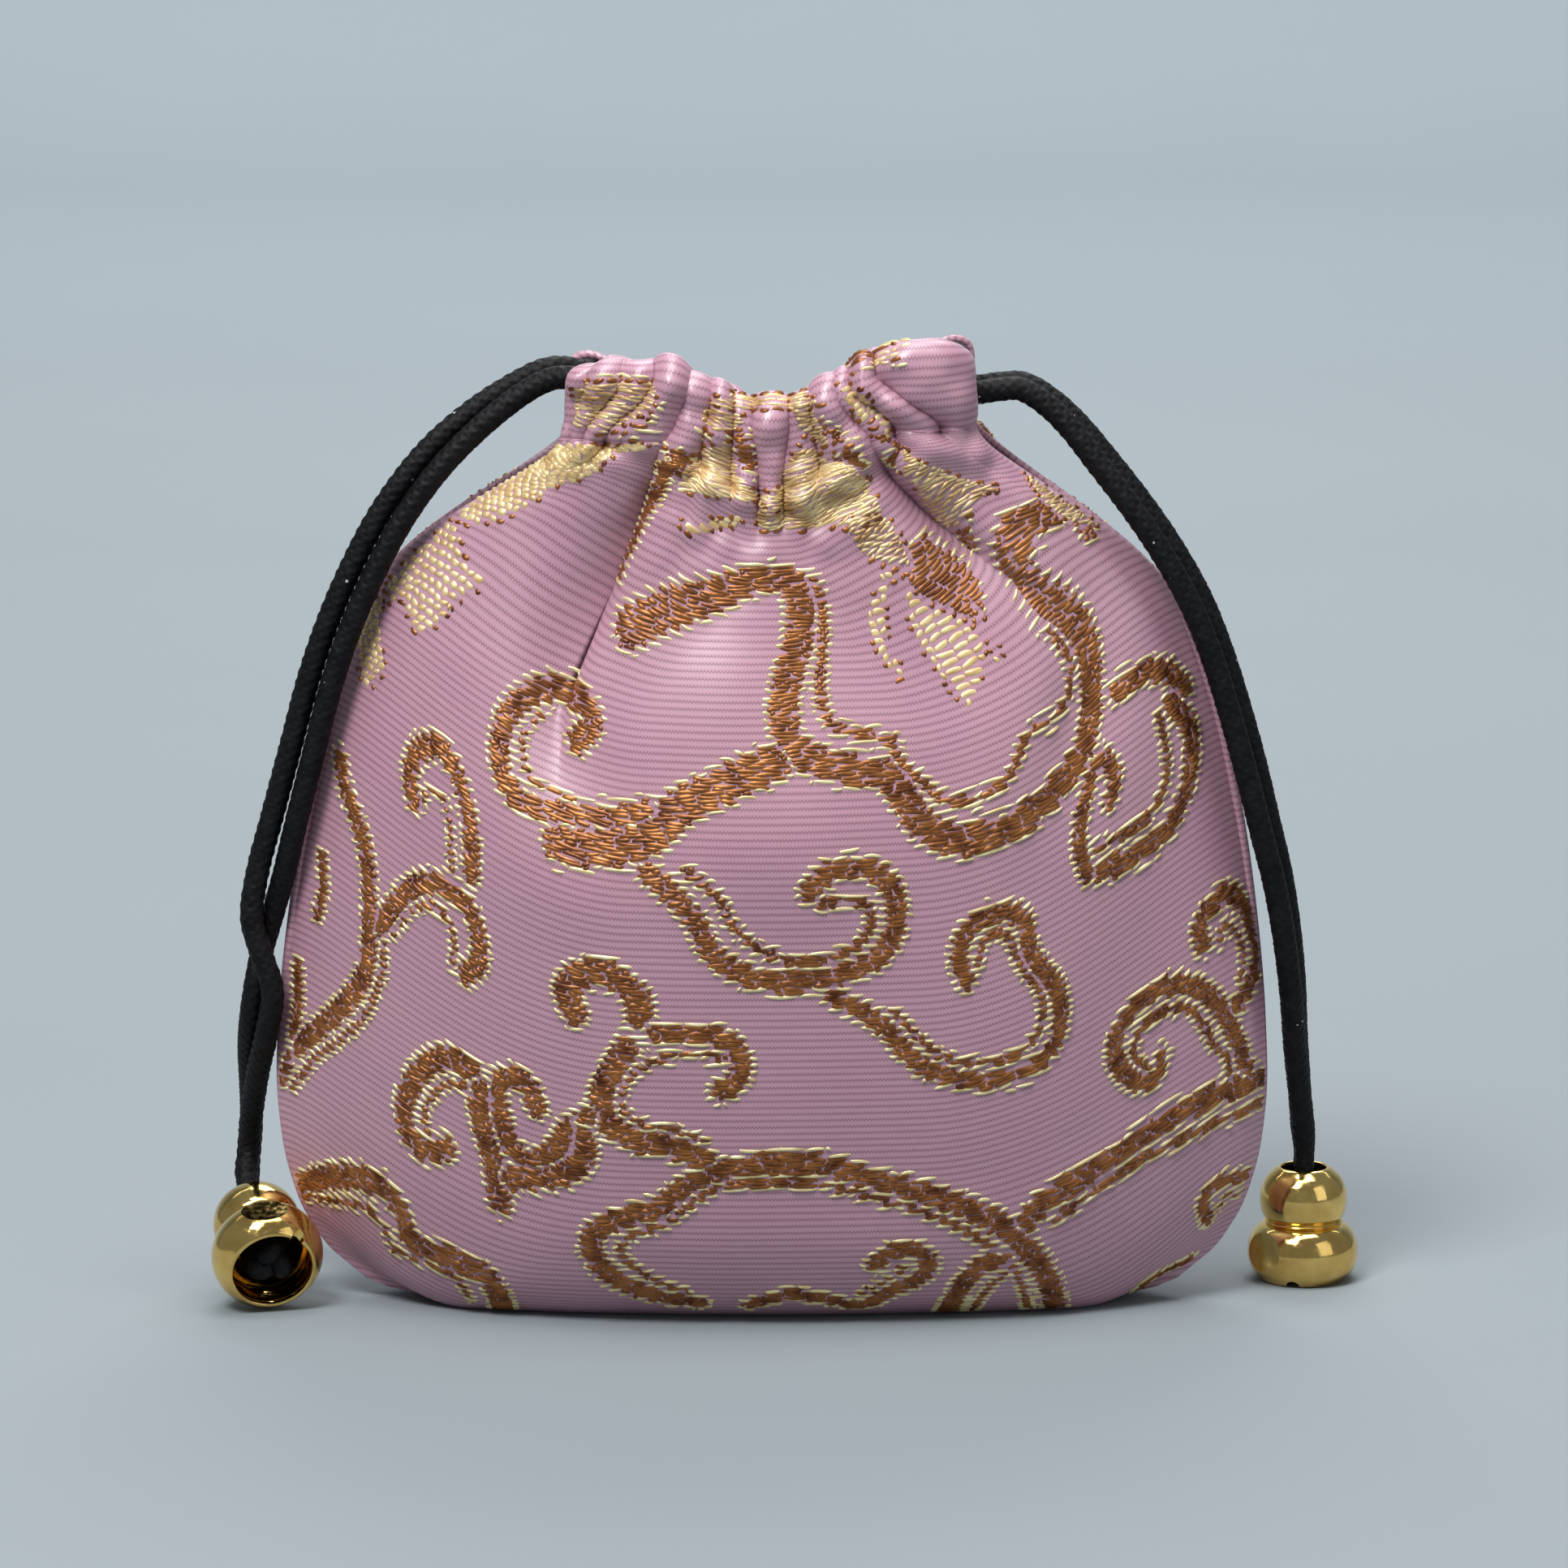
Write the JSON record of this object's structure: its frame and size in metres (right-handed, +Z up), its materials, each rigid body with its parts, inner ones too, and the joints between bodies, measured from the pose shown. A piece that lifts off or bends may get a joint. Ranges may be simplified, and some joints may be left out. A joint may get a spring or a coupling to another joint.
{
  "type": "kinchaku drawstring pouch",
  "caption": "Small cloth pouch with a gathered neck, a casing with drawstrings that leave both sides, and a gourd-shaped metal bead on each pair of ends.",
  "frame": {"origin": "centre of the pouch's outline at the level it stands on", "axes": "+X to the right seen from the front, -Y to the front, +Z up"},
  "size_m": [0.1245, 0.0408, 0.1059],
  "materials": {
    "front_cloth": "mauve silk brocade with copper and pale gold pattern threads",
    "back_cloth": "mauve silk brocade with copper and pale gold pattern threads",
    "cord_left": "black braided cord",
    "cord_right": "black braided cord",
    "gold_left": "polished gold-coloured plating",
    "gold_right": "polished gold-coloured plating",
    "knot_left": "black braided cord",
    "knot_right": "black braided cord"
  },
  "bodies": {
    "pouch": {"front_panel": "front_cloth", "back_panel": "back_cloth", "cord_left": "cord_left", "cord_right": "cord_right", "knot_left": "knot_left", "knot_right": "knot_right"},
    "left_bead": {"bead_left": "gold_left"},
    "right_bead": {"bead_right": "gold_right"}
  },
  "joints": [
    {"name": "left_bead_spin", "type": "hinge", "parent": "pouch", "child": "left_bead", "pos_m": [-0.0543, -0.0062, 0.00612], "axis": [-0.24, 0.9081, 0.343], "continuous": true},
    {"name": "right_bead_spin", "type": "hinge", "parent": "pouch", "child": "right_bead", "pos_m": [0.058, 0.0077, 0.006], "axis": [0, 0, 1], "continuous": true}
  ]
}
